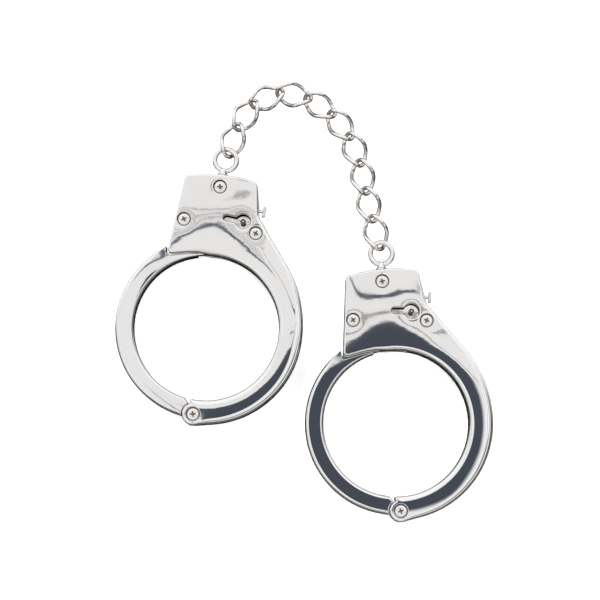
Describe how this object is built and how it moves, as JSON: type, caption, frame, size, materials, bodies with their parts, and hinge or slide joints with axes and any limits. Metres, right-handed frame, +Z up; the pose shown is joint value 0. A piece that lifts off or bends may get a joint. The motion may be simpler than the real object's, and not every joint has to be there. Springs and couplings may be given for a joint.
{
  "type": "handcuffs",
  "caption": "Chain-linked handcuffs with swinging bows, ratchet locks, keyholes and swivel eyes, laid flat",
  "frame": {"origin": "centre of the footprint of the whole object, at the table", "axes": "+Z up from the table, with the keyholes facing up; +Y from the cuffs towards the chain; +X from the left cuff to the right cuff"},
  "size_m": [0.1428, 0.1682, 0.011],
  "materials": {
    "chrome": "mirror-bright chrome plating over die-cast metal",
    "plated_steel": "nickel-plated, slightly satin",
    "hardened_steel": "plain hardened steel",
    "spring_steel": "drawn spring wire"
  },
  "bodies": {
    "left_case": {"left_back_case": "chrome", "left_case_screw_1": "plated_steel", "left_case_screw_2": "plated_steel", "left_case_screw_3": "plated_steel", "left_front_case": "chrome", "left_hinge_screw": "plated_steel", "left_key_post": "plated_steel", "left_pawl_pin": "plated_steel", "left_pawl_spring": "spring_steel"},
    "left_bow": {"left_bow": "chrome"},
    "left_pawl": {"left_pawl": "hardened_steel", "left_release_lever": "plated_steel"},
    "left_eye": {"left_swivel_eye": "chrome"},
    "link_01": {"chain_link_01": "chrome"},
    "link_02": {"chain_link_02": "chrome"},
    "link_03": {"chain_link_03": "chrome"},
    "link_04": {"chain_link_04": "chrome"},
    "link_05": {"chain_link_05": "chrome"},
    "link_06": {"chain_link_06": "chrome"},
    "link_07": {"chain_link_07": "chrome"},
    "link_08": {"chain_link_08": "chrome"},
    "link_09": {"chain_link_09": "chrome"},
    "link_10": {"chain_link_10": "chrome"},
    "right_eye": {"right_swivel_eye": "chrome"},
    "right_case": {"right_back_case": "chrome", "right_case_screw_1": "plated_steel", "right_case_screw_2": "plated_steel", "right_case_screw_3": "plated_steel", "right_front_case": "chrome", "right_hinge_screw": "plated_steel", "right_key_post": "plated_steel", "right_pawl_pin": "plated_steel", "right_pawl_spring": "spring_steel"},
    "right_bow": {"right_bow": "chrome"},
    "right_pawl": {"right_pawl": "hardened_steel", "right_release_lever": "plated_steel"}
  },
  "joints": [
    {"name": "left_bow_hinge", "type": "hinge", "parent": "left_case", "child": "left_bow", "pos_m": [-0.04175, -0.04347, 0.0055], "axis": [0, 0, 1], "range_deg": [0, 85]},
    {"name": "left_pawl_pivot", "type": "hinge", "parent": "left_case", "child": "left_pawl", "pos_m": [-0.02339, 0.02174, 0.0055], "axis": [0, 0, 1], "range_deg": [-4, 4.2], "deforming": ["left_pawl_spring"]},
    {"name": "right_bow_hinge", "type": "hinge", "parent": "right_case", "child": "right_bow", "pos_m": [0.03643, -0.07988, 0.0055], "axis": [0, 0, 1], "range_deg": [0, 85]},
    {"name": "right_pawl_pivot", "type": "hinge", "parent": "right_case", "child": "right_pawl", "pos_m": [0.042, -0.01237, 0.0055], "axis": [0, 0, 1], "range_deg": [-4, 4.2], "deforming": ["right_pawl_spring"]},
    {"name": "left_swivel", "type": "hinge", "parent": "left_case", "child": "left_eye", "pos_m": [-0.02977, 0.05377, 0.0055], "axis": [0.2079, 0.9781, 0], "continuous": true},
    {"name": "chain_bend_01", "type": "hinge", "parent": "left_eye", "child": "link_01", "pos_m": [-0.02886, 0.05642, 0.0055], "axis": [0, 0, 1], "range_deg": [-4, 22]},
    {"name": "chain_bend_02", "type": "hinge", "parent": "link_01", "child": "link_02", "pos_m": [-0.02528, 0.06682, 0.0055], "axis": [0, 0, -1], "range_deg": [-60, 4]},
    {"name": "chain_bend_03", "type": "hinge", "parent": "link_02", "child": "link_03", "pos_m": [-0.01913, 0.07594, 0.0055], "axis": [0, 0, 1], "range_deg": [-4, 78]},
    {"name": "chain_bend_04", "type": "hinge", "parent": "link_03", "child": "link_04", "pos_m": [-0.009, 0.08023, 0.0055], "axis": [0, 0, -1], "range_deg": [-80, 4]},
    {"name": "chain_bend_05", "type": "hinge", "parent": "link_04", "child": "link_05", "pos_m": [0.00176, 0.07795, 0.0055], "axis": [0, 0, 1], "range_deg": [-4, 68]},
    {"name": "chain_bend_06", "type": "hinge", "parent": "link_05", "child": "link_06", "pos_m": [0.01077, 0.07164, 0.0055], "axis": [0, 0, -1], "range_deg": [-62, 4]},
    {"name": "chain_bend_07", "type": "hinge", "parent": "link_06", "child": "link_07", "pos_m": [0.01754, 0.06297, 0.0055], "axis": [0, 0, 1], "range_deg": [-4, 62]},
    {"name": "chain_bend_08", "type": "hinge", "parent": "link_07", "child": "link_08", "pos_m": [0.02149, 0.0527, 0.0055], "axis": [0, 0, -1], "range_deg": [-55, 4]},
    {"name": "chain_bend_09", "type": "hinge", "parent": "link_08", "child": "link_09", "pos_m": [0.02358, 0.0419, 0.0055], "axis": [0, 0, 1], "range_deg": [-4, 43]},
    {"name": "chain_bend_10", "type": "hinge", "parent": "link_09", "child": "link_10", "pos_m": [0.02606, 0.03118, 0.0055], "axis": [0, 0, -1], "range_deg": [-43, 4]},
    {"name": "chain_bend_11", "type": "hinge", "parent": "link_10", "child": "right_eye", "pos_m": [0.02891, 0.02056, 0.0055], "axis": [0, 0, 1], "range_deg": [-4, 31]},
    {"name": "right_swivel", "type": "hinge", "parent": "right_eye", "child": "right_case", "pos_m": [0.02963, 0.01785, 0.0055], "axis": [0.0175, 0.9998, 0], "range_deg": [-150, 150]}
  ]
}
